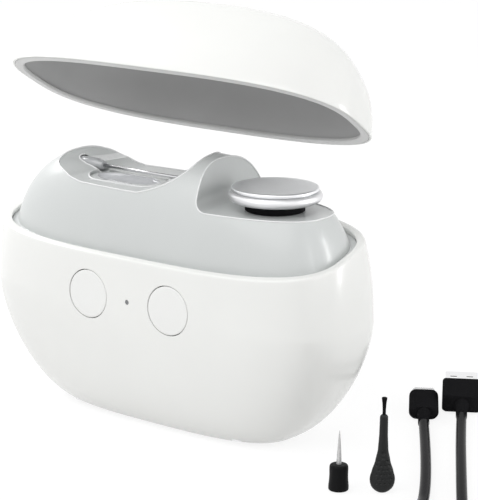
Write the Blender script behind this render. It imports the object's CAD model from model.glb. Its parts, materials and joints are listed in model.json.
import json
import math
import random

import bmesh
import bpy
from mathutils import Matrix, Vector


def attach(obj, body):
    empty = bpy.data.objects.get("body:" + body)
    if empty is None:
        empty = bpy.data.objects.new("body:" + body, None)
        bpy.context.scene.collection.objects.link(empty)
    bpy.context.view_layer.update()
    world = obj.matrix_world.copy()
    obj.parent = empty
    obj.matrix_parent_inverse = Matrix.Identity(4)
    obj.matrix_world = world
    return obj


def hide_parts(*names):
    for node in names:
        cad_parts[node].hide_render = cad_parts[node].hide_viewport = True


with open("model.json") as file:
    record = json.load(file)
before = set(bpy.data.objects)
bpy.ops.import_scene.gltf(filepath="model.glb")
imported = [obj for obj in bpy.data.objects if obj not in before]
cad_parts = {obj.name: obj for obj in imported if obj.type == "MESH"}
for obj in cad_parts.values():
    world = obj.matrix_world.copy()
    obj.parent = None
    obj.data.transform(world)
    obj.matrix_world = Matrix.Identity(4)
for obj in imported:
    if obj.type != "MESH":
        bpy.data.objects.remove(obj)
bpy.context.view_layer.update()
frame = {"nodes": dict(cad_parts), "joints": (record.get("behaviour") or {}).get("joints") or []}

# ---------------------------------------------------------------- driving dimensions, mm as in the CAD
MM = 0.001
LENGTH = 150.0
DEPTH = 57.0
BELT = 44.5
RISE = 61.5
BASE_LENGTH = 88.0
BASE_DEPTH = 28.0
BELT_SQUARE = 3.5
BASE_SQUARE = 2.9
CROWN_SQUARE = 2.4
KEEL_CURVE = 1.7
CROWN_X = 2.95
CROWN_Y = 2.8
PAD_LIFT = 0.6
RIM_HEIGHT = 70.0
RIM_SLOPE = math.tan(math.radians(14.0))
WALL = 2.6
LID_WALL = 1.9
LINER_WALL = 0.8
LID_GAP = 0.25
BUTTON_X = 17.9
BUTTON_Z = 48.0
BUTTON_R = 8.5
BUTTON_GAP = 0.28
BUTTON_BACK = -24.4
PIN_HOLE_R = 0.85
PORT_WIDTH = 9.24
PORT_HEIGHT = 3.46
PORT_Z = 20.0
VENT_LENGTH = 6.0
VENT_HEIGHT = 1.2
VENT_PITCH = 2.6
VENT_X = 48.0
VENT_Z = 52.0
PAD_HALF_X = 40.0
PAD_HALF_Y = 10.5
PAD_DEPTH = 1.0
INSERT_HALF_X = 70.6
INSERT_HALF_Y = 24.0
INSERT_RISE = 52.5
INSERT_CURVE_X = 3.1
INSERT_CURVE_Y = 2.9
INSERT_WALL = 2.2
FLANGE_TOP = -1.6
FLANGE_FOOT = -5.4
DECK = 81.5
UNDER_DECK = 79.1
VALLEY_FLOOR = 84.6
ABOVE_INSERT = 99.0
TRAY_X = -19.5
TRAY_Y = -4.0
TRAY_HALF = 16.0
TRAY_ROUND = 8.0
TRAY_GAP = 0.08
TRAY_TOP = 84.7
BOWL_HALF_X = 14.0
BOWL_HALF_Y = 6.8
BOWL_DEPTH = 2.6
NEEDLE_Z = 87
CAP_X = 41.65
BURR_AT = (87.8, -26.4)
BRUSH_AT = (99.8, -19.1)
BRUSH_TALL = 26.3

# cord, in metres
CORD_D = 0.0036

# mesh density
AROUND = 288
RING_SPACING = 1.45

lid_joint = next(j for j in frame["joints"] if j["name"] == "lid_lift")
LID_PIVOT = Vector(lid_joint["pos_m"]) / MM
LID_TURN = math.radians(lid_joint["range_deg"][1])


# ---------------------------------------------------------------- mesh helpers
def put(name, bm, body, material, smooth=True, node=None):
    """Turns a bmesh in millimetres into a piece that rides a body."""
    bmesh.ops.scale(bm, vec=(MM, MM, MM), verts=bm.verts)
    bmesh.ops.recalc_face_normals(bm, faces=bm.faces)
    mesh = bpy.data.meshes.new(name)
    bm.to_mesh(mesh)
    bm.free()
    for face in mesh.polygons:
        face.use_smooth = smooth
    piece = bpy.data.objects.new(name, mesh)
    bpy.context.collection.objects.link(piece)
    piece.data.materials.append(material)
    if body:
        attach(piece, body)
    if node:
        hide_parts(*([node] if isinstance(node, str) else node))
    return piece


def skin(bm, rows, closed_rows=False, cap_first=False, cap_last=False):
    """Joins rings of points, each ring closed, into a quad skin."""
    rings = [[bm.verts.new(point) for point in row] for row in rows]
    pairs = list(zip(rings, rings[1:]))
    if closed_rows:
        pairs.append((rings[-1], rings[0]))
    for low, high in pairs:
        for i in range(len(low)):
            j = (i + 1) % len(low)
            bm.faces.new((low[i], low[j], high[j], high[i]))
    if cap_first:
        bm.faces.new(list(reversed(rings[0])))
    if cap_last:
        bm.faces.new(rings[-1])


def even_angles(count):
    """Angles that go once round in even steps."""
    return [2 * math.pi * i / count for i in range(count)]


def circle(radius, height, steps):
    """Ring of points about +Z."""
    return [(radius * math.cos(a), radius * math.sin(a), height) for a in even_angles(steps)]


def lathe(profile, steps=96):
    """Closed solid turned about +Z from (radius, height) points, flat at both ends."""
    bm = bmesh.new()
    skin(bm, [circle(radius, height, steps) for radius, height in profile], cap_first=True, cap_last=True)
    return bm


def lathe_ring(profile, steps=96):
    """Closed ring turned about +Z from a closed (radius, height) section."""
    bm = bmesh.new()
    skin(bm, [circle(radius, height, steps) for radius, height in profile], closed_rows=True)
    return bm


def arc(cx, cz, radius, start, end, steps):
    """(radius, height) points of an arc in the lathe's plane, angles in degrees."""
    angles = [math.radians(start + (end - start) * i / steps) for i in range(steps + 1)]
    return [(cx + radius * math.cos(a), cz + radius * math.sin(a)) for a in angles]


def move(bm, matrix):
    """Moves a whole bmesh and returns it."""
    bmesh.ops.transform(bm, matrix=matrix, verts=bm.verts)
    return bm


def sharp(piece, angle=35.0):
    """Keeps edges crisp where faces meet at more than the angle."""
    mesh = piece.data
    limit = math.radians(angle)
    bm = bmesh.new()
    bm.from_mesh(mesh)
    for edge in bm.edges:
        edge.smooth = len(edge.link_faces) != 2 or edge.calc_face_angle(0.0) < limit
    bm.to_mesh(mesh)
    bm.free()


def signed_power(value, power):
    """Power of a value that keeps its sign."""
    return math.copysign(abs(value) ** power, value)


def outline(turn, half_x, half_y, square):
    """Point of a rounded oblong at a turn."""
    return (
        half_x * signed_power(math.cos(turn), 2 / square),
        half_y * signed_power(math.sin(turn), 2 / square),
    )


def even_turns(count):
    """Turns that space the belt outline's points evenly along its length."""
    fine = 20000
    turns = [2 * math.pi * i / fine for i in range(fine + 1)]
    places = [outline(t, LENGTH / 2, DEPTH / 2, BELT_SQUARE) for t in turns]
    travelled = [0.0]
    for a, b in zip(places, places[1:]):
        travelled.append(travelled[-1] + math.hypot(b[0] - a[0], b[1] - a[1]))
    chosen = []
    at = 0
    for i in range(count):
        goal = travelled[-1] * i / count
        while travelled[at + 1] < goal:
            at += 1
        share = (goal - travelled[at]) / (travelled[at + 1] - travelled[at])
        chosen.append(turns[at] + share * (turns[at + 1] - turns[at]))
    return chosen


TURNS = even_turns(AROUND)


def keel_point(turn, share, inset=0.0):
    """Point of the pebble under the belt: share 0 at the belt, 1 at the base."""
    angle = share * math.pi / 2
    step = math.sin(angle) ** (2 / KEEL_CURVE)
    tuck = 1 - max(math.cos(angle), 0.0) ** (2 / KEEL_CURVE)
    half_x = LENGTH / 2 - inset - (LENGTH - BASE_LENGTH) / 2 * tuck
    half_y = DEPTH / 2 - inset - (DEPTH - BASE_DEPTH) / 2 * tuck
    square = BELT_SQUARE + (BASE_SQUARE - BELT_SQUARE) * step
    return Vector((*outline(turn, half_x, half_y, square), BELT - step * (BELT - inset - PAD_LIFT)))


def dome_point(turn, step, half_x, half_y, rise, curve_x, curve_y):
    """Point of a dome on the belt: step 0 at the belt, 1 at the top."""
    step = min(max(step, 0.0), 1.0)
    span_x = half_x * (1 - step**curve_x) ** (1 / curve_x)
    span_y = half_y * (1 - step**curve_y) ** (1 / curve_y)
    square = BELT_SQUARE + (CROWN_SQUARE - BELT_SQUARE) * step
    return Vector((*outline(turn, span_x, span_y, square), BELT + step * rise))


def crown_point(turn, step, inset=0.0):
    """Point of the pebble above the belt."""
    half_x = LENGTH / 2 - inset
    half_y = DEPTH / 2 - inset
    return dome_point(turn, step, half_x, half_y, RISE - inset, CROWN_X, CROWN_Y)


def rim_step(turn, inset, offset):
    """Crown step where the inset skin meets the parting plane raised by offset."""
    step = 0.4
    for _ in range(30):
        y = crown_point(turn, step, inset).y
        goal = (RIM_HEIGHT + offset + y * RIM_SLOPE - BELT) / (RISE - inset)
        step += 0.6 * (goal - step)
    return step


def rim_point(turn, inset, offset):
    """Point on the parting plane raised by offset."""
    return crown_point(turn, rim_step(turn, inset, offset), inset)


def insert_point(turn, step, inset=0.0):
    """Point of the insert's dome."""
    half_x = INSERT_HALF_X - inset
    half_y = INSERT_HALF_Y - inset
    return dome_point(turn, step, half_x, half_y, INSERT_RISE - inset, INSERT_CURVE_X, INSERT_CURVE_Y)


def insert_foot(turn, offset):
    """Dome step where the insert meets the parting plane raised by offset."""
    step = 0.3
    for _ in range(30):
        goal = (RIM_HEIGHT + offset + insert_point(turn, step).y * RIM_SLOPE - BELT) / INSERT_RISE
        step += 0.6 * (goal - step)
    return step


def front_y(x, z):
    """Y of the case's outer front face."""
    if z >= BELT:
        step = (z - BELT) / RISE
        span_x = LENGTH / 2 * (1 - step**CROWN_X) ** (1 / CROWN_X)
        span_y = DEPTH / 2 * (1 - step**CROWN_Y) ** (1 / CROWN_Y)
        square = BELT_SQUARE + (CROWN_SQUARE - BELT_SQUARE) * step
    else:
        step = (BELT - z) / (BELT - PAD_LIFT)
        tuck = 1 - (1 - step**KEEL_CURVE) ** (1 / KEEL_CURVE)
        span_x = LENGTH / 2 - (LENGTH - BASE_LENGTH) / 2 * tuck
        span_y = DEPTH / 2 - (DEPTH - BASE_DEPTH) / 2 * tuck
        square = BELT_SQUARE + (BASE_SQUARE - BELT_SQUARE) * step
    return -span_y * (1 - abs(x / span_x) ** square) ** (1 / square)


def smooth_line(points, per=8):
    """Catmull-Rom points through a list of 2-D points."""
    line = []
    for i in range(len(points) - 1):
        before = Vector(points[max(i - 1, 0)])
        a = Vector(points[i])
        b = Vector(points[i + 1])
        after = Vector(points[min(i + 2, len(points) - 1)])
        for k in range(per):
            t = k / per
            square = (2 * before - 5 * a + 4 * b - after) * t**2
            cube = (3 * a - before - 3 * b + after) * t**3
            line.append(0.5 * (2 * a + (b - before) * t + square + cube))
    line.append(Vector(points[-1]))
    return line


def cut(piece, *tools):
    """Subtracts closed bmeshes in millimetres from a piece."""
    for tool in tools:
        bmesh.ops.scale(tool, vec=(MM, MM, MM), verts=tool.verts)
        bmesh.ops.recalc_face_normals(tool, faces=tool.faces)
        mesh = bpy.data.meshes.new("tool")
        tool.to_mesh(mesh)
        tool.free()
        holder = bpy.data.objects.new("tool", mesh)
        bpy.context.collection.objects.link(holder)
        step = piece.modifiers.new("cut", "BOOLEAN")
        step.operation = "DIFFERENCE"
        step.solver = "EXACT"
        step.object = holder
        bpy.context.view_layer.update()
        evaluated = piece.evaluated_get(bpy.context.evaluated_depsgraph_get())
        result = bpy.data.meshes.new_from_object(evaluated)
        piece.modifiers.clear()
        old = piece.data
        piece.data = result
        bpy.data.meshes.remove(old)
        bpy.data.objects.remove(holder)
        bpy.data.meshes.remove(mesh)
    return piece


def cylinder(radius, low, high, steps=96):
    """Closed cylinder about +Z."""
    return lathe([(radius, low), (radius, high)], steps)


def slot_prism(length, width, low, high, steps=24):
    """Closed prism with round ends, long along X."""
    bm = bmesh.new()
    half = (length - width) / 2
    ring = []
    for side, start in ((1, -90), (-1, 90)):
        for i in range(steps + 1):
            a = math.radians(start + 180 * i / steps)
            ring.append((side * half + width / 2 * math.cos(a), width / 2 * math.sin(a)))
    skin(bm, [[(x, y, z) for x, y in ring] for z in (low, high)], cap_first=True, cap_last=True)
    return bm


TO_FRONT = Matrix.Rotation(math.radians(90), 4, "X")
TRAY = Matrix.Translation((TRAY_X, TRAY_Y, 0))
NEEDLE = Matrix.Translation((0, 0, NEEDLE_Z)) @ Matrix.Rotation(math.radians(90), 4, "Y")
CAP = Matrix.Translation((CAP_X, 0, 0))


# ---------------------------------------------------------------- materials
def surface(name):
    """New node material: returns it, its tree and its Principled shader."""
    made = bpy.data.materials.new(name)
    made.use_nodes = True
    tree = made.node_tree
    return made, tree, tree.nodes["Principled BSDF"]


def add_grain(tree, shader, size, depth, edge=0.0, stretch=(1, 1, 1)):
    """Fine moulded or ground texture, with rounded edges where edge is set."""
    place = tree.nodes.new("ShaderNodeTexCoord")
    mapping = tree.nodes.new("ShaderNodeMapping")
    mapping.inputs["Scale"].default_value = stretch
    noise = tree.nodes.new("ShaderNodeTexNoise")
    noise.inputs["Scale"].default_value = size
    noise.inputs["Detail"].default_value = 3.0
    bump = tree.nodes.new("ShaderNodeBump")
    bump.inputs["Strength"].default_value = depth
    bump.inputs["Distance"].default_value = 0.00005
    tree.links.new(place.outputs["Object"], mapping.inputs["Vector"])
    tree.links.new(mapping.outputs["Vector"], noise.inputs["Vector"])
    tree.links.new(noise.outputs["Fac"], bump.inputs["Height"])
    if edge:
        round_off = tree.nodes.new("ShaderNodeBevel")
        round_off.samples = 8
        round_off.inputs["Radius"].default_value = edge
        tree.links.new(round_off.outputs["Normal"], bump.inputs["Normal"])
    tree.links.new(bump.outputs["Normal"], shader.inputs["Normal"])


def add_tint(tree, shader, dark, light, size):
    """Slow colour variation between two close colours."""
    place = tree.nodes.new("ShaderNodeTexCoord")
    noise = tree.nodes.new("ShaderNodeTexNoise")
    noise.inputs["Scale"].default_value = size
    ramp = tree.nodes.new("ShaderNodeValToRGB")
    for stop, place_on, color in zip(ramp.color_ramp.elements, (0.35, 0.65), (dark, light)):
        stop.position = place_on
        stop.color = (*color, 1)
    tree.links.new(place.outputs["Object"], noise.inputs["Vector"])
    tree.links.new(noise.outputs["Fac"], ramp.inputs["Fac"])
    tree.links.new(ramp.outputs["Color"], shader.inputs["Base Color"])


def plastic(
    name, color, rough, size=2500.0, depth=0.1, coat=0.0, edge=0.0, spread=0.02, shine=0.5
):
    """Moulded plastic or rubber."""
    made, tree, shader = surface(name)
    dark = [max(c * (1 - spread), 0) for c in color]
    light = [min(c * (1 + spread), 1) for c in color]
    add_tint(tree, shader, dark, light, 40.0)
    add_grain(tree, shader, size, depth, edge)
    shader.inputs["Specular IOR Level"].default_value = shine
    shader.inputs["Roughness"].default_value = rough
    shader.inputs["Coat Weight"].default_value = coat
    shader.inputs["Coat Roughness"].default_value = 0.08
    return made


def metal(name, color, rough, size=3000.0, depth=0.1, stretch=(1, 1, 1)):
    """Bare metal, brushed where the grain is stretched."""
    made, tree, shader = surface(name)
    add_tint(tree, shader, [c * 0.96 for c in color], color, 60.0)
    add_grain(tree, shader, size, depth, stretch=stretch)
    shader.inputs["Metallic"].default_value = 1.0
    shader.inputs["Roughness"].default_value = rough
    return made


def clear(name, color, rough):
    """Clear moulded plastic."""
    made, tree, shader = surface(name)
    add_tint(tree, shader, [c * 0.97 for c in color], color, 30.0)
    add_grain(tree, shader, 1500.0, 0.05)
    shader.inputs["Roughness"].default_value = rough
    shader.inputs["Transmission Weight"].default_value = 0.75
    shader.inputs["IOR"].default_value = 1.49
    return made


white = plastic("white_gloss", (0.89, 0.895, 0.875), 0.25, coat=0.15, edge=0.0004, depth=0.03, spread=0.006)
button_white = plastic("button_white", (0.89, 0.895, 0.88), 0.3, coat=0.2, depth=0.03, spread=0.006)
pale_rim = plastic("pale_rim", (0.72, 0.72, 0.715), 0.35, edge=0.0003)
liner = plastic("liner_grey", (0.54, 0.54, 0.54), 0.4, depth=0.1)
insert_grey = plastic("insert_grey", (0.64, 0.66, 0.655), 0.3, coat=0.1, depth=0.03, spread=0.01)
insert_edge = plastic("insert_edge", (0.86, 0.87, 0.87), 0.25, coat=0.3, depth=0.03, spread=0.01)
tray_gloss = plastic("tray_gloss", (0.66, 0.67, 0.69), 0.08, coat=0.8, edge=0.0004)
black_satin = plastic("black_satin", (0.012, 0.012, 0.013), 0.45, depth=0.3, shine=0.02)
black_tool = plastic("black_tool", (0.007, 0.007, 0.0075), 0.45, size=6000.0, depth=0.35, shine=0.08)
brush_black = plastic("brush_black", (0.022, 0.023, 0.023), 0.45, size=6000.0, depth=0.35, shine=0.15)
black_gloss = plastic("black_gloss", (0.013, 0.013, 0.014), 0.3, depth=0.05, shine=0.0)
jacket = plastic("cord_jacket", (0.006, 0.006, 0.007), 0.2, depth=0.1, shine=0.02)
pad_rubber = plastic("pad_rubber", (0.5, 0.5, 0.49), 0.75, size=1800.0, depth=0.5)
seal_rubber = plastic("seal_rubber", (0.02, 0.02, 0.02), 0.6)
silver = metal("silver_band", (0.74, 0.74, 0.75), 0.45, depth=0.05)
brushed = metal("silver_brushed", (0.86, 0.87, 0.88), 0.4, size=900.0, depth=0.25, stretch=(30, 1, 1))
bright_steel = metal("bright_steel", (0.85, 0.85, 0.86), 0.16, depth=0.05)
grit_steel = metal("grit_steel", (0.6, 0.6, 0.6), 0.5, size=9000.0, depth=1.0)
tube_steel = metal("tube_steel", (0.8, 0.8, 0.81), 0.15, depth=0.05)
spring_steel = metal("spring_steel", (0.65, 0.65, 0.66), 0.3)
brass = metal("rotor_brass", (0.75, 0.6, 0.3), 0.3)
board_green = plastic("board_green", (0.03, 0.16, 0.07), 0.4, size=900.0, depth=0.3)
frame_grey = plastic("frame_grey", (0.22, 0.22, 0.23), 0.5, depth=0.2)
cell_blue = plastic("cell_blue", (0.04, 0.12, 0.3), 0.3)
silicone = plastic("silicone", (0.75, 0.75, 0.73), 0.4)
foam = plastic("filter_foam", (0.8, 0.8, 0.78), 0.9, size=2500.0, depth=1.0)
smoke = plastic("hub_smoke", (0.42, 0.43, 0.44), 0.12, coat=0.8, depth=0.02)
cup_clear = clear("cup_clear", (0.85, 0.88, 0.9), 0.1)

CAD_LOOKS = [
    (pad_rubber, ["base_pad"]),
    (bright_steel, ["case_screws", "board_screws", "charge_socket", "motor_shaft"]),
    (seal_rubber, ["needle_seal", "cap_o_ring", "pump_diaphragm"]),
    (cup_clear, ["trap_cup", "status_lens"]),
    (foam, ["trap_filter"]),
    (black_satin, ["cap_spindle", "left_switch", "right_switch"]),
    (board_green, ["main_board", "charge_board"]),
    (spring_steel, ["left_spring", "right_spring", "pump_motor"]),
    (cell_blue, ["battery_cell"]),
    (frame_grey, ["battery_cradle", "motor_bracket", "pump_head", "valve_cap", "exhaust_muffler"]),
    (brass, ["eccentric_hub"]),
    (silicone, ["suction_hose", "trap_hose", "exhaust_hose"]),
]
for look, nodes in CAD_LOOKS:
    for node in nodes:
        slots = frame["nodes"][node].data.materials
        slots.clear()
        slots.append(look)


# ---------------------------------------------------------------- housing
def rings(point, values):
    """Rings of points at each value of a surface's parameter."""
    return [[point(turn, value) for turn in TURNS] for value in values]


def build_housing():
    """Case wall with its pad pocket, button holes, pin hole, port and vents."""
    bm = bmesh.new()
    pocket = [outline(turn, PAD_HALF_X, PAD_HALF_Y, BASE_SQUARE) for turn in TURNS]
    rows = [[Vector((x, y, PAD_LIFT + PAD_DEPTH)) for x, y in pocket]]
    rows.append([Vector((x, y, PAD_LIFT)) for x, y in pocket])
    rows += rings(keel_point, [1 - i / 56 for i in range(56)])
    under_rim = -0.7
    for i in range(16):
        rows.append([crown_point(turn, i / 16 * rim_step(turn, 0.0, under_rim)) for turn in TURNS])
    band = [(0.0, under_rim), (0.05, -0.35), (0.18, -0.14), (0.42, -0.02), (0.7, 0.0)]
    band += [(WALL - inset, drop) for inset, drop in reversed(band)]
    for inset, drop in band:
        rows.append([rim_point(turn, inset, drop) for turn in TURNS])
    for i in range(1, 10):
        share = 1 - i / 9
        rows.append([crown_point(turn, share * rim_step(turn, WALL, under_rim), WALL) for turn in TURNS])
    rows += rings(lambda turn, share: keel_point(turn, share, WALL), [i / 20 for i in range(1, 21)])
    skin(bm, rows, cap_first=True, cap_last=True)
    housing = put("housing_skin", bm, "case", white, node="housing_shell")
    holes = []
    for side in (-1, 1):
        hole = move(cylinder(BUTTON_R + BUTTON_GAP, 20.0, 40.0, 128), TO_FRONT)
        holes.append(move(hole, Matrix.Translation((side * BUTTON_X, 0, BUTTON_Z))))
    pin_hole = move(cylinder(PIN_HOLE_R, 20.0, 40.0, 32), TO_FRONT)
    holes.append(move(pin_hole, Matrix.Translation((0, 0, BUTTON_Z))))
    port = move(slot_prism(PORT_WIDTH, PORT_HEIGHT, -40.0, -15.0), TO_FRONT)
    holes.append(move(port, Matrix.Translation((0, 0, PORT_Z))))
    for row in (-1, 0, 1):
        vent = move(slot_prism(VENT_LENGTH, VENT_HEIGHT, -40.0, -20.0, 12), TO_FRONT)
        holes.append(move(vent, Matrix.Translation((VENT_X, 0, VENT_Z + VENT_PITCH * row))))
    cut(housing, *holes)
    sharp(housing)


def build_button(side, name):
    """Round button whose face follows the case's front."""
    bm = bmesh.new()
    face = [(BUTTON_R * share, 0.0) for share in (0.25, 0.5, 0.75, 0.9)]
    face += [(BUTTON_R - 0.3, 0.0), (BUTTON_R - 0.14, 0.04), (BUTTON_R - 0.04, 0.14), (BUTTON_R, 0.3)]
    rows = []
    for radius, back in face:
        ring = []
        for a in even_angles(96):
            x = side * BUTTON_X + radius * math.cos(a)
            z = BUTTON_Z + radius * math.sin(a)
            ring.append((x, front_y(x, z) + back, z))
        rows.append(ring)
    rows.append([(x, BUTTON_BACK, z) for x, y, z in rows[-1]])
    skin(bm, rows, cap_first=True, cap_last=True)
    button = put(name + "_cap", bm, name, button_white, node=name)
    sharp(button)


build_housing()
build_button(-1, "left_button")
build_button(1, "right_button")


# ---------------------------------------------------------------- lid, built closed and then swung open
def swing(bm):
    """Takes lid geometry from its closed place to its open rest place."""
    turn = Matrix.Rotation(-LID_TURN, 4, "X")
    return move(bm, Matrix.Translation(LID_PIVOT) @ turn @ Matrix.Translation(-LID_PIVOT))


def crown_rows(inset, offset, count=44):
    """Rings from the lid's parting plane up to the crown at one inset."""
    rows = []
    for i in range(count):
        share = (i / count) ** 0.9
        row = []
        for turn in TURNS:
            start = math.asin(min(rim_step(turn, inset, offset), 1.0) ** RING_SPACING)
            angle = start + share * (math.pi / 2 - start)
            row.append(crown_point(turn, math.sin(angle) ** (1 / RING_SPACING), inset))
        rows.append(row)
    return rows


def build_lid():
    """Lid shell, its lining and the lip that seats on the case."""
    bm = bmesh.new()
    rows = list(reversed(crown_rows(LID_WALL, LID_GAP + 1.3, 30)))
    rows += [[rim_point(t, LID_WALL, LID_GAP + 1.3) for t in TURNS]]
    for inset, lift in ((0.7, 1.3), (0.7, 0.1), (0.6, 0.02), (0.45, 0.0), (0.2, 0.06), (0.06, 0.2)):
        rows.append([rim_point(t, inset, LID_GAP + lift) for t in TURNS])
    rows += crown_rows(0.0, LID_GAP + 0.4)
    skin(bm, rows, cap_first=True, cap_last=True)
    shell = put("lid_skin", swing(bm), "lid", white, node="lid_shell")
    sharp(shell)
    bm = bmesh.new()
    outer = crown_rows(LID_WALL + 0.1, LID_GAP + 1.35, 24)
    inner = crown_rows(LID_WALL + 0.1 + LINER_WALL, LID_GAP + 1.35, 40)
    skin(bm, list(reversed(outer)) + inner, cap_first=True, cap_last=True)
    lining = put("lid_lining", swing(bm), "lid", liner, node="lid_liner")
    sharp(lining)
    bm = bmesh.new()
    lip = [(0.8, 0.15), (0.95, 0.0), (3.1, 0.0), (3.3, 0.06), (3.4, 0.2), (3.4, 1.0), (3.3, 1.15)]
    lip += [(3.1, 1.2), (0.8, 1.2)]
    rows = [[rim_point(t, inset, LID_GAP + lift) for t in TURNS] for inset, lift in lip]
    skin(bm, rows, closed_rows=True)
    ring = put("lid_lip", swing(bm), "lid", pale_rim, node="lid_rim_ring")
    sharp(ring)


build_lid()


# ---------------------------------------------------------------- insert and needle tray
SKEW = math.radians(14.0)
# distance along and height, up the valley's right side
VALLEY_RIGHT = [
    (-8.0, VALLEY_FLOOR),
    (-3.0, 86.0),
    (2.9, 88.3),
    (7.6, 91.0),
    (11.5, 94.2),
    (15.0, ABOVE_INSERT),
]
# height, X at the middle and slope of X along Y, up the valley's left end
VALLEY_WALL = [
    (VALLEY_FLOOR, -30.0, 0.0),
    (85.5, -34.7, 0.074),
    (86.4, -37.1, 0.113),
    (88.4, -43.2, 0.3),
    (90.4, -45.5, 0.35),
    (91.7, -46.8, 0.35),
    (ABOVE_INSERT, -50.0, 0.35),
]
EDGES_ABOVE = 0.0805


def skew_prism(points):
    """Closed prism of (along, height) points that runs across the skewed valley."""
    along = Vector((math.cos(SKEW), math.sin(SKEW), 0))
    across = Vector((math.sin(SKEW), -math.cos(SKEW), 0))
    bm = bmesh.new()
    rows = []
    for side in (-45, 45):
        rows.append([along * u + across * side + Vector((0, 0, z)) for u, z in points])
    skin(bm, rows, cap_first=True, cap_last=True)
    return bm


def valley_end():
    """Closed tool for the valley's left end, whose wall turns as it runs back."""
    bm = bmesh.new()
    rows = []
    for y in (-DEPTH / 2, DEPTH / 2):
        wall = smooth_line([(x + slope * y, z) for z, x, slope in VALLEY_WALL])
        wall += [(-14.0, ABOVE_INSERT), (-14.0, VALLEY_FLOOR)]
        rows.append([(p[0], y, p[1]) for p in wall])
    skin(bm, rows, cap_first=True, cap_last=True)
    return bm


def crisp_lines(piece, low, angle=32.0, merge=0.00003, shortest=0.002):
    """Lines of points along a piece's crisp edges above a height."""
    bm = bmesh.new()
    bm.from_mesh(piece.data)
    bmesh.ops.remove_doubles(bm, verts=bm.verts, dist=merge)
    bm.verts.index_update()
    near = {}
    for edge in bm.edges:
        if len(edge.link_faces) != 2 or min(v.co.z for v in edge.verts) < low:
            continue
        if edge.calc_face_angle() > math.radians(angle):
            one, other = (v.index for v in edge.verts)
            near.setdefault(one, []).append(other)
            near.setdefault(other, []).append(one)
    bm.verts.ensure_lookup_table()
    lines = []
    starts = sorted(near, key=lambda k: (len(near[k]) == 2, k))
    for start in starts:
        while near[start]:
            line = [start]
            while near[line[-1]]:
                here = line[-1]
                there = near[here].pop()
                near[there].remove(here)
                line.append(there)
                if len(near[there]) > 1:
                    break
            points = [bm.verts[k].co.copy() for k in line]
            length = sum((b - a).length for a, b in zip(points, points[1:]))
            if length > shortest:
                lines.append(points)
    bm.free()
    return lines


def bead(name, lines, body, radius=0.0003):
    """Thin rounded edge that runs along the given lines."""
    line = bpy.data.curves.new(name, "CURVE")
    line.dimensions = "3D"
    line.bevel_depth = radius
    line.bevel_resolution = 2
    line.use_fill_caps = True
    for points in lines:
        run = line.splines.new("POLY")
        run.points.add(len(points) - 1)
        for spot, point in zip(points, run.points):
            point.co = (*spot, 1)
    edge = bpy.data.objects.new(name, line)
    bpy.context.collection.objects.link(edge)
    line.materials.append(insert_edge)
    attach(edge, body)


def insert_rows(inset, feet, count):
    """Rings from the feet, dome steps round the insert, up to its top."""
    rows = []
    for i in range(count + 1):
        share = i / count
        row = []
        for turn, foot in zip(TURNS, feet):
            start = math.asin(min(foot, 1.0) ** RING_SPACING)
            angle = start + share * (math.pi / 2 - start)
            step = min(math.sin(angle) ** (1 / RING_SPACING), 0.9999)
            row.append(insert_point(turn, step, inset))
        rows.append(row)
    return rows


def build_insert():
    """Hollow carrier with the needle's valley, the cap's pocket and their holes."""
    bm = bmesh.new()
    feet = [insert_foot(turn, FLANGE_TOP) for turn in TURNS]
    low_feet = [insert_foot(turn, FLANGE_FOOT) for turn in TURNS]
    rows = [[insert_point(turn, foot) for turn, foot in zip(TURNS, low_feet)]]
    rows.append([rim_point(turn, WALL + 0.2, FLANGE_FOOT) for turn in TURNS])
    rows.append([rim_point(turn, WALL + 0.2, FLANGE_TOP) for turn in TURNS])
    rows += insert_rows(0.0, feet, 60)
    skin(bm, rows, cap_first=True, cap_last=True)
    carrier = put("carrier", bm, "case", insert_grey, node="deck_insert")
    room = bmesh.new()
    skin(room, insert_rows(INSERT_WALL, [0.25] * AROUND, 30), cap_first=True, cap_last=True)
    roof = [(-49, 120), (-49, UNDER_DECK), (-4, UNDER_DECK), (-4, 81.6), (2.5, 84), (7.5, 87.6)]
    roof += [(9.5, 89.0), (9.5, UNDER_DECK), (90, UNDER_DECK), (90, 120)]
    hollow = put("hollow", room, None, insert_grey)
    cut(hollow, skew_prism(roof))
    inside = bmesh.new()
    inside.from_mesh(hollow.data)
    bmesh.ops.scale(inside, vec=(1 / MM, 1 / MM, 1 / MM), verts=inside.verts)
    bpy.data.objects.remove(hollow)
    pocket_r, corner, pocket_x = 60.0, 4.0, 79.5
    pocket_profile = [(pocket_r, 125.0), (pocket_r, DECK + corner)]
    pocket_profile += arc(pocket_r - corner, DECK + corner, corner, 0, -90, 12)
    pocket = move(lathe(pocket_profile, 360), Matrix.Translation((pocket_x, 0, 0)))
    line = smooth_line(VALLEY_RIGHT) + [(-24.0, ABOVE_INSERT), (-24.0, VALLEY_FLOOR)]
    valley = skew_prism([(p[0], p[1]) for p in line])
    both_gaps = 2 * TRAY_GAP
    tray_room = slot_prism(2 * TRAY_HALF + both_gaps, 2 * TRAY_ROUND + both_gaps, 81.0, 86.5, 48)
    move(tray_room, TRAY)
    hub_room = move(cylinder(2.7, -48.0, -33.5, 64), NEEDLE)
    slot_room = move(cylinder(1.6, -35.0, 7.0, 48), NEEDLE)
    neck_room = move(cylinder(8.35, 75.0, 83.0, 64), CAP)
    cut(carrier, inside, pocket, valley, valley_end(), tray_room, hub_room, slot_room, neck_room)
    sharp(carrier, 30.0)
    bead("carrier_edge", crisp_lines(carrier, EDGES_ABOVE), "case")


build_insert()


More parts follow.
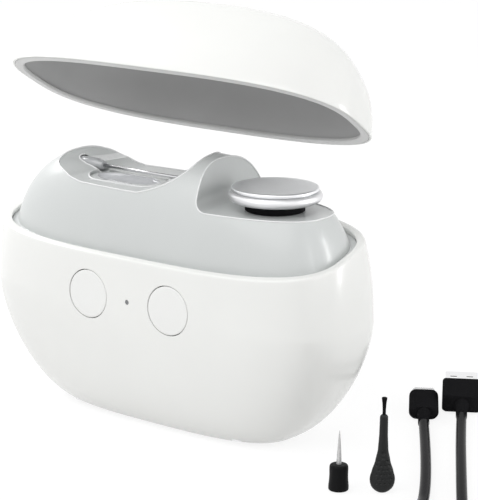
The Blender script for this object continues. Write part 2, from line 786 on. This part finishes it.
def build_tray():
    """Glossy tray with an almond-shaped finger bowl."""
    bm = bmesh.new()
    steps = 48
    around = []
    for side, start in ((1, -90), (-1, 90)):
        for i in range(steps):
            a = math.radians(start + 180 * i / steps)
            middle = side * (TRAY_HALF - TRAY_ROUND)
            around.append((middle + TRAY_ROUND * math.cos(a), TRAY_ROUND * math.sin(a)))
    bowl = []
    for x, y in around:
        a = math.atan2(y / TRAY_ROUND, x / TRAY_HALF)
        bowl.append((BOWL_HALF_X * math.cos(a), BOWL_HALF_Y * signed_power(math.sin(a), 1.25)))
    rows = [[(x, y, 81.0) for x, y in around], [(x, y, 84.4) for x, y in around]]
    rows.append([(x * 0.985, y * 0.97, 84.68) for x, y in around])
    for k in range(1, 4):
        mix = k / 4
        row = []
        for a, b in zip(around, bowl):
            x = a[0] * 0.98 * (1 - mix) + b[0] * mix
            y = a[1] * 0.96 * (1 - mix) + b[1] * mix
            row.append((x, y, TRAY_TOP))
        rows.append(row)
    for k in range(12):
        angle = math.radians(90 * k / 12)
        share = math.cos(angle)
        depth = BOWL_DEPTH * math.sin(angle)
        rows.append([(x * share, y * share, TRAY_TOP - depth) for x, y in bowl])
    skin(bm, rows, cap_first=True, cap_last=True)
    tray = put("finger_tray", move(bm, TRAY), "case", insert_grey, node="needle_tray")
    tray.data.materials.append(tray_gloss)
    for face in tray.data.polygons:
        x = face.center.x / MM - TRAY_X
        y = face.center.y / MM - TRAY_Y
        in_bowl = (x / BOWL_HALF_X) ** 2 + (abs(y) / BOWL_HALF_Y) ** 1.6 < 1
        if in_bowl and face.center.z > DECK * MM:
            face.material_index = 1
    sharp(tray, 50.0)


build_tray()


def build_needle():
    """Steel suction tube and the dark socket that holds it."""
    tube = [(0.48, -46.0), (0.635, -46.0), (0.635, 5.85), (0.6, 6.0), (0.5, 6.0), (0.48, 5.9)]
    bm = move(lathe_ring(tube, 32), NEEDLE)
    put("steel_tube", bm, "case", tube_steel, node="needle_tube")
    hub = [(1.7, -47.5), (2.1, -47.4), (2.3, -47.1), (2.3, -37.6), (2.2, -37.2), (1.9, -36.4)]
    hub += [(1.75, -35.2), (1.5, -34.6), (0.7, -34.5)]
    bm = move(lathe(hub, 64), NEEDLE)
    sharp(put("socket", bm, "case", smoke, node="needle_hub"))


build_needle()


# ---------------------------------------------------------------- wax trap neck and cap
def build_cap():
    """Neck on the deck, and the cap's silver band and dished plate."""
    neck = [(7.0, 75.2), (8.2, 75.2), (8.2, DECK), (9.9, DECK), (10.2, 81.7), (10.2, 84.3)]
    neck += [(10.0, 84.5), (7.2, 84.5), (7.0, 84.3)]
    bm = move(lathe_ring(neck), CAP)
    put("neck", bm, "case", black_satin, node="trap_neck")
    band = [(13.4, 84.65), (14.6, 84.85), (15.5, 85.4), (15.95, 86.2), (15.98, 86.9), (15.7, 87.6)]
    band += [(15.2, 88.1), (14.4, 88.35)]
    soft = [(p[0], p[1]) for p in smooth_line(band, 5)]
    bm = move(lathe_ring([(5.0, 84.65)] + soft + [(5.0, 88.35)], 160), CAP)
    piece = put("cap_band", bm, "trap_cap", silver, node="cap_ring")
    sharp(piece, 50.0)
    disc = [(0.2, 88.37), (14.1, 88.37), (14.1, 88.6), (14.75, 88.7), (14.9, 88.9), (14.9, 89.3)]
    disc += [(14.75, 89.55), (14.5, 89.7), (14.2, 89.75), (13.95, 89.7)]
    dish_r, dish_depth, dish_rim = 13.9, 0.9, 89.75
    sphere = (dish_r**2 + dish_depth**2) / (2 * dish_depth)
    for k in range(1, 25):
        r = dish_r * (1 - k / 25)
        disc.append((r, dish_rim + sphere - dish_depth - math.sqrt(sphere**2 - r**2)))
    bm = move(lathe(disc, 160), CAP)
    piece = put("cap_plate", bm, "trap_cap", brushed, node="cap_disc")
    sharp(piece, 40.0)


build_cap()


# ---------------------------------------------------------------- loose tools
BURR = Matrix.Translation((*BURR_AT, 0))
BRUSH_FACING = math.radians(39.0)
BRUSH = Matrix.Translation((*BRUSH_AT, 0)) @ Matrix.Rotation(BRUSH_FACING, 4, "Z")


def build_burr():
    """Burr: a black grip with a gritty point."""
    grip = [(2.5, 0.0), (2.95, 0.05), (3.2, 0.2), (3.3, 0.5), (3.3, 1.6), (3.12, 3.4), (3.05, 5.2)]
    grip += [(3.08, 7.0), (3.05, 7.9), (2.85, 8.5), (2.4, 8.75), (1.2, 8.8), (0.95, 8.85), (0.6, 8.8)]
    line = [(p[0], p[1]) for p in smooth_line(grip, 4)]
    bm = move(lathe(line), BURR)
    put("burr_handle", bm, "burr", black_tool, node="burr_grip")
    random.seed(5)
    bm = bmesh.new()
    rows = []
    count = 90
    for k in range(count + 1):
        z = 8.2 + 12.1 * k / count
        share = max((z - 8.8) / 11.5, 0.0)
        radius = 0.78 * (1 - share) ** 0.72 + 0.05
        row = []
        for a in even_angles(40):
            r = radius * (1 + (0.14 * random.uniform(-1, 1) if 0.04 < share < 0.97 else 0))
            row.append((r * math.cos(a), r * math.sin(a), z))
        rows.append(row)
    skin(bm, rows, cap_first=True, cap_last=True)
    put("burr_point", move(bm, BURR), "burr", grit_steel, node="burr_pin")


build_burr()

# share of the handle's height, with the shares of its width and thickness there
BRUSH_PROFILE = [
    (0.0, 0.34, 0.45),
    (0.01, 0.46, 0.6),
    (0.025, 0.6, 0.74),
    (0.05, 0.77, 0.86),
    (0.08, 0.89, 0.95),
    (0.12, 0.97, 0.99),
    (0.16, 1.0, 1.0),
    (0.2, 0.98, 0.99),
    (0.27, 0.86, 0.95),
    (0.4, 0.6, 0.8),
    (0.55, 0.41, 0.66),
    (0.75, 0.34, 0.56),
    (1.0, 0.32, 0.5),
]


def profile_at(share):
    """Width and thickness shares of the brush handle at a share of its height."""
    for a, b in zip(BRUSH_PROFILE, BRUSH_PROFILE[1:]):
        if share <= b[0]:
            mix = (share - a[0]) / (b[0] - a[0])
            mix = mix * mix * (3 - 2 * mix) * 0.35 + mix * 0.65
            return a[1] + (b[1] - a[1]) * mix, a[2] + (b[2] - a[2]) * mix
    return BRUSH_PROFILE[-1][1:]


def brush_dent(x, z, dots):
    """Depth of the grip dots and the thumb rest, or minus the height of the knob, at a place."""
    dent = 0.0
    for u, v in dots:
        reach = math.hypot(x - u, z - v) / 0.42
        if reach < 1:
            dent = max(dent, 0.3 * (1 - reach**2))
    oval = math.hypot(x / 0.75, z - 13.6)
    if oval < 1:
        dent = max(dent, 0.35 * (1 - oval**2))
    knob = math.hypot(x / 0.65, (z - 11.3) / 0.6)
    if knob < 1:
        dent = -0.28 * (1 - knob**2)
    return dent


def build_brush_handle():
    """Flat waisted handle with rows of grip dots on its front."""
    dots = []
    for row in range(6):
        for col in (-1.5, -0.5, 0.5, 1.5):
            dots.append(((col + 0.5 * (row % 2)) * 1.35, 3.4 + 1.5 * row))
    shares = [0.0, 0.004, 0.012] + [0.02 + 0.98 * k / 200 for k in range(201)]
    shoulder = 0.965
    rows = []
    for share in shares:
        z = BRUSH_TALL * share
        wide, thick = profile_at(share)
        if share > shoulder:
            round_off = 1 - 0.45 * ((share - shoulder) / (1 - shoulder)) ** 2
            wide *= round_off
            thick *= round_off
        row = []
        for a in even_angles(128):
            x = 4.1 * wide * math.cos(a)
            y = 2.2 * thick * math.sin(a)
            if y < 0:
                y += brush_dent(x, z, dots)
            row.append((x, y, z))
        rows.append(row)
    bm = bmesh.new()
    skin(bm, rows, cap_first=True, cap_last=True)
    put("brush_grip", move(bm, BRUSH), "brush", brush_black, node="brush_handle")


def build_bristles():
    """Round tuft of bristles that spreads towards its tip."""
    bm = bmesh.new()
    random.seed(11)
    count = 150
    golden_angle = 2.399963
    for k in range(count):
        around = golden_angle * k
        reach = math.sqrt((k + 0.5) / count)
        foot = Vector((0.52 * reach * math.cos(around), 0.52 * reach * math.sin(around), 25.6))
        tip = BRUSH_TALL + 5.9 * (1 - 0.05 * reach**2 - 0.02 * random.random())
        spread = 0.9 * reach
        head = Vector((spread * math.cos(around), spread * math.sin(around), tip))
        rows = []
        for t, r in ((0, 0.055), (0.35, 0.055), (0.7, 0.055), (1, 0.035)):
            mid = foot.lerp(head, t)
            waist = Vector((mid.x, mid.y, 0)) * (1 - 0.25 * math.sin(math.pi * t))
            rows.append([(waist.x + x, waist.y + y, z) for x, y, z in circle(r, mid.z, 6)])
        skin(bm, rows, cap_first=True, cap_last=True)
    put("bristles", move(bm, BRUSH), "brush", black_tool, node="brush_tuft")


build_brush_handle()
build_bristles()


# ---------------------------------------------------------------- cable plugs
UP = Vector((0, 0, 1))


def plug_place(tip, heading, height):
    """Matrix from plug space (X across, Y up, Z back to the cord) to the floor."""
    turn = math.radians(heading)
    back = Vector((math.cos(turn), math.sin(turn), 0))
    across = UP.cross(back)
    place = Matrix((across, UP, back)).transposed().to_4x4()
    place.translation = Vector((tip[0], tip[1], height))
    return place


def rounded_ring(half_x, half_y, radius, z, steps=10, lift=0.0):
    """Ring of points round a rectangle with rounded corners."""
    ring = []
    for cx, cy, start in ((1, 1, 0), (-1, 1, 90), (-1, -1, 180), (1, -1, 270)):
        for i in range(steps):
            a = math.radians(start + 90 * i / (steps - 1))
            x = cx * (half_x - radius) + radius * math.cos(a)
            y = cy * (half_y - radius) + radius * math.sin(a) + lift
            ring.append((x, y, z))
    return ring


C_PLACE = plug_place((58.0, 72.0), -57.7, 2.7)
A_PLACE = plug_place((62.0, 92.0), -58.7, 3.6)


def build_grip(name, place, rows, node):
    """Moulded grip of a plug from (half width, half height, corner, distance back) rows."""
    bm = bmesh.new()
    skin(bm, [rounded_ring(*row) for row in rows], cap_first=True, cap_last=True)
    piece = put(name, move(bm, place), "case", black_gloss, node=node)
    sharp(piece, 40.0)


def build_relief(name, place, start, rows, node):
    """Short neck down to the cord's height on the floor from (distance back, radius, drop) rows."""
    bm = bmesh.new()
    rings = []
    for back, radius, drop in rows:
        rings.append([(x, y - drop, z) for x, y, z in circle(radius, start + back, 40)])
    skin(bm, rings, cap_first=True, cap_last=True)
    put(name, move(bm, place), "case", black_gloss, node=node)


def build_c_plug():
    """USB-C plug: steel sleeve, tongue, grip and neck."""
    bm = bmesh.new()
    rows = []
    walls = [(4.12, 1.2, 6.5), (4.12, 1.2, 0.25), (4.0, 1.08, 0.0), (3.85, 0.93, 0.05), (3.8, 0.88, 0.3)]
    walls.append((3.8, 0.88, 6.5))
    for half_x, half_y, z in walls:
        rows.append(rounded_ring(half_x, half_y, half_y * 0.98, z))
    skin(bm, rows, closed_rows=True)
    piece = put("c_sleeve", move(bm, C_PLACE), "case", bright_steel, node="c_plug_shell")
    sharp(piece)
    bm = bmesh.new()
    skin(bm, [rounded_ring(3.3, 0.35, 0.2, z) for z in (0.9, 6.5)], cap_first=True, cap_last=True)
    skin(bm, [rounded_ring(3.79, 0.87, 0.8, z) for z in (4.5, 6.5)], cap_first=True, cap_last=True)
    put("c_tongue", move(bm, C_PLACE), "case", black_satin, node="c_plug_core")
    rows = [(4.3, 1.6, 1.5, 7.3), (4.5, 1.8, 1.7, 6.6), (5.0, 2.4, 2.3, 6.5), (5.25, 2.65, 2.5, 6.8)]
    rows += [(5.3, 2.7, 2.6, 7.3), (5.3, 2.7, 2.6, 24.6), (5.1, 2.6, 2.5, 25.3), (3.6, 2.3, 2.2, 26.5)]
    build_grip("c_grip", C_PLACE, rows, "c_plug_body")
    rows = [(-0.3, 2.5, 0.2), (1.2, 2.45, 0.25), (1.9, 2.2, 0.5), (2.4, 2.0, 0.6), (9.0, 2.0, 0.7)]
    build_relief("c_neck", C_PLACE, 26.5, rows, "c_plug_relief")


def build_a_plug():
    """USB-A plug: steel sleeve with two windows, tongue, grip and neck."""
    bm = bmesh.new()
    walls = [(6, 2.25, 12.2), (6, 2.25, 0.2), (5.85, 2.1, 0), (5.7, 1.95, 0.2), (5.7, 1.95, 12.2)]
    rows = [rounded_ring(half_x, half_y, 0.45, z, 6) for half_x, half_y, z in walls]
    skin(bm, rows, closed_rows=True)
    shell = put("a_sleeve", move(bm, A_PLACE), "case", bright_steel, node="a_plug_shell")
    windows = []
    for side in (-3.0, 3.0):
        box = bmesh.new()
        skin(box, [rounded_ring(1.2, 3.0, 0.1, z, 2) for z in (5.6, 7.8)], cap_first=True, cap_last=True)
        windows.append(move(box, A_PLACE @ Matrix.Translation((side, 0, 0))))
    cut(shell, *windows)
    sharp(shell)
    bm = bmesh.new()
    skin(bm, [rounded_ring(5.65, 0.9, 0.1, z, 2, -1.04) for z in (0.5, 12.2)], cap_first=True, cap_last=True)
    skin(bm, [rounded_ring(5.68, 1.92, 0.3, z, 4) for z in (9.6, 12.2)], cap_first=True, cap_last=True)
    put("a_tongue", move(bm, A_PLACE), "case", black_satin, node="a_plug_core")
    rows = [(6.3, 2.7, 0.6, 12.9), (6.5, 2.9, 0.7, 12.3), (6.75, 3.3, 1.0, 12.2), (6.95, 3.55, 1.2, 12.5)]
    rows += [(7.0, 3.6, 1.25, 13.0), (7.0, 3.6, 1.25, 29.6), (6.6, 3.4, 1.2, 30.8), (4.0, 2.9, 1.1, 32.2)]
    build_grip("a_grip", A_PLACE, rows, "a_plug_body")
    rows = [(-0.3, 2.8, 0.5), (0.8, 2.7, 0.7), (1.5, 2.3, 1.1), (2.2, 2.05, 1.35), (9.0, 2.0, 1.6)]
    build_relief("a_neck", A_PLACE, 32.2, rows, "a_plug_relief")


build_c_plug()
build_a_plug()


# ---------------------------------------------------------------- cable, one cord from plug to plug
C_ROUTE = [
    (0.0770, 0.0420, 0.0021),
    (0.0833, 0.0326, 0.0018),
    (0.0929, 0.0180, 0.0018),
    (0.1037, 0.0011, 0.0018),
    (0.1130, -0.0143, 0.0018),
    (0.1194, -0.0261, 0.0020),
    (0.1207, -0.0347, 0.0044),
    (0.1182, -0.0430, 0.0056),
]
A_ROUTE = [
    (0.1439, -0.0410, 0.0018),
    (0.1367, -0.0301, 0.0018),
    (0.1250, -0.0115, 0.0018),
    (0.1124, 0.0089, 0.0018),
    (0.0998, 0.0294, 0.0018),
    (0.0895, 0.0465, 0.0018),
    (0.0834, 0.0568, 0.0021),
]
COIL = Vector((0.1308, -0.0597, 0))
COIL_OUT = Vector((0.848, 0.530, 0))
COIL_ON = Vector((0.530, -0.848, 0))
COIL_TURNS = 2.62
PER_TURN = 16


def coil_radius(turned):
    """Radius of the coil's line after this many turns from the A plug's side."""
    if turned < 0.72:
        return 0.0229
    if turned < 0.92:
        return 0.0229 - 0.0038 * (turned - 0.72) / 0.2
    if turned < 1.72:
        return 0.0191
    if turned < 1.95:
        return 0.0191 + 0.0019 * (turned - 1.72) / 0.23
    return 0.0210


def coil_height(turned):
    """Height of the coil's line: two turns on the floor, the last one on top."""
    share = min(max((turned - 1.68) / 0.27, 0.0), 1.0)
    return 0.0018 + 0.00315 * share * share * (3 - 2 * share)


def build_cord():
    """The charging cable as one cord: its two leads with the coil between."""
    turn_step = 2 * math.pi / PER_TURN
    swell = 1 / (0.75 + 0.25 * math.cos(turn_step))
    points = list(C_ROUTE)
    for k in range(int(COIL_TURNS * PER_TURN), -1, -1):
        turned = k / PER_TURN
        angle = 2 * math.pi * turned
        reach = coil_radius(turned) * swell
        spot = COIL + reach * (math.cos(angle) * COIL_OUT + math.sin(angle) * COIL_ON)
        points.append((spot.x, spot.y, coil_height(turned)))
    points += A_ROUTE
    line = bpy.data.curves.new("cable", "CURVE")
    line.dimensions = "3D"
    line.bevel_depth = CORD_D / 2
    line.bevel_resolution = 6
    line.resolution_u = 10
    line.use_fill_caps = True
    run = line.splines.new("NURBS")
    run.points.add(len(points) - 1)
    for spot, point in zip(points, run.points):
        point.co = (*spot, 1)
    run.order_u = 3
    run.use_endpoint_u = True
    cable = bpy.data.objects.new("cable", line)
    bpy.context.collection.objects.link(cable)
    cable.data.materials.append(jacket)
    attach(cable, "case")
    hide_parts("cable_lead_c", "cable_lead_a", "cable_coil")


build_cord()


# ---------------------------------------------------------------- floor, light and camera
def seen_directly(tree):
    """Socket that is 1 on camera, glossy and transmission rays and 0 on others."""
    path = tree.nodes.new("ShaderNodeLightPath")
    seen = path.outputs["Is Camera Ray"]
    for ray in ("Is Glossy Ray", "Is Transmission Ray"):
        either = tree.nodes.new("ShaderNodeMath")
        either.operation = "MAXIMUM"
        tree.links.new(seen, either.inputs[0])
        tree.links.new(path.outputs[ray], either.inputs[1])
        seen = either.outputs[0]
    return seen


def mix_shaders(tree, share, one, other, output):
    """Mixes two shaders by a socket and links the result to the tree's output."""
    mix = tree.nodes.new("ShaderNodeMixShader")
    tree.links.new(share, mix.inputs[0])
    tree.links.new(one.outputs[0], mix.inputs[1])
    tree.links.new(other.outputs[0], mix.inputs[2])
    tree.links.new(mix.outputs[0], tree.nodes[output].inputs["Surface"])


def build_floor():
    """White floor that keeps the object's shadow."""
    bm = bmesh.new()
    corners = [bm.verts.new(p) for p in ((-6, -6, 0), (6, -6, 0), (6, 6, 0), (-6, 6, 0))]
    bm.faces.new(corners)
    mesh = bpy.data.meshes.new("floor")
    bm.to_mesh(mesh)
    bm.free()
    floor = bpy.data.objects.new("floor", mesh)
    bpy.context.collection.objects.link(floor)
    floor.location.z = -0.0002
    made, tree, shader = surface("floor")
    shader.inputs["Base Color"].default_value = (0.72, 0.72, 0.72, 1)
    shader.inputs["Roughness"].default_value = 0.9
    shader.inputs["Specular IOR Level"].default_value = 0.0
    glow = tree.nodes.new("ShaderNodeEmission")
    glow.inputs["Color"].default_value = (1, 1, 1, 1)
    glow.inputs["Strength"].default_value = 1.14
    share = tree.nodes.new("ShaderNodeMath")
    share.operation = "MULTIPLY"
    share.inputs[1].default_value = 0.75
    tree.links.new(seen_directly(tree), share.inputs[0])
    mix_shaders(tree, share.outputs[0], shader, glow, "Material Output")
    mesh.materials.append(made)


def build_world():
    """Soft white surround that looks plain white and lights less."""
    world = bpy.data.worlds.new("studio")
    bpy.context.scene.world = world
    world.use_nodes = True
    tree = world.node_tree
    base = tree.nodes["Background"]
    base.inputs["Color"].default_value = (1, 1, 1, 1)
    base.inputs["Strength"].default_value = 0.45
    seen = tree.nodes.new("ShaderNodeBackground")
    seen.inputs["Color"].default_value = (1, 1, 1, 1)
    seen.inputs["Strength"].default_value = 1.0
    mix_shaders(tree, seen_directly(tree), base, seen, "World Output")


LOOK_AT = Vector((0, 0, 0.042))


def from_side(azimuth, elevation, distance):
    """Point at an azimuth (0 in front, 90 at +X) and elevation round the case."""
    a = math.radians(azimuth)
    e = math.radians(elevation)
    return LOOK_AT + distance * Vector(
        (math.sin(a) * math.cos(e), -math.cos(a) * math.cos(e), math.sin(e))
    )


def aim(name, data, azimuth, elevation, distance):
    """Object for a lamp or camera, placed round the case and turned to face it."""
    holder = bpy.data.objects.new(name, data)
    bpy.context.collection.objects.link(holder)
    holder.location = from_side(azimuth, elevation, distance)
    holder.rotation_euler = (LOOK_AT - holder.location).to_track_quat("-Z", "Y").to_euler()
    return holder


def add_lamp(name, azimuth, elevation, distance, width, height, watts):
    """Rectangular softbox."""
    lamp = bpy.data.lights.new(name, "AREA")
    lamp.shape = "RECTANGLE"
    lamp.size = width
    lamp.size_y = height
    lamp.energy = watts
    aim(name, lamp, azimuth, elevation, distance)


def add_sun(name, azimuth, elevation, spread, strength):
    """Even light from one side, as a large softbox far away."""
    lamp = bpy.data.lights.new(name, "SUN")
    lamp.energy = strength
    lamp.angle = math.radians(spread)
    aim(name, lamp, azimuth, elevation, 2.0)


def add_camera():
    """Long lens, low, off the case's right front corner."""
    lens = bpy.data.cameras.new("camera")
    lens.sensor_width = 36.0
    lens.lens = 144.1
    lens.shift_x = 0.120
    lens.shift_y = 0.104
    lens.clip_start = 0.01
    lens.clip_end = 50.0
    bpy.context.scene.camera = aim("camera", lens, 39.0, 15.5, 0.710)


build_floor()
build_world()
add_sun("key", -5, 46, 60, 1.5)
add_lamp("right_strip", 122, 12, 0.8, 0.12, 0.5, 2.0)
add_lamp("front_strip", 68, 22, 0.9, 0.06, 0.4, 0.4)
add_lamp("left_fill", -95, 35, 0.9, 0.4, 0.4, 3.2)
add_camera()
bpy.context.scene.view_settings.view_transform = "Standard"
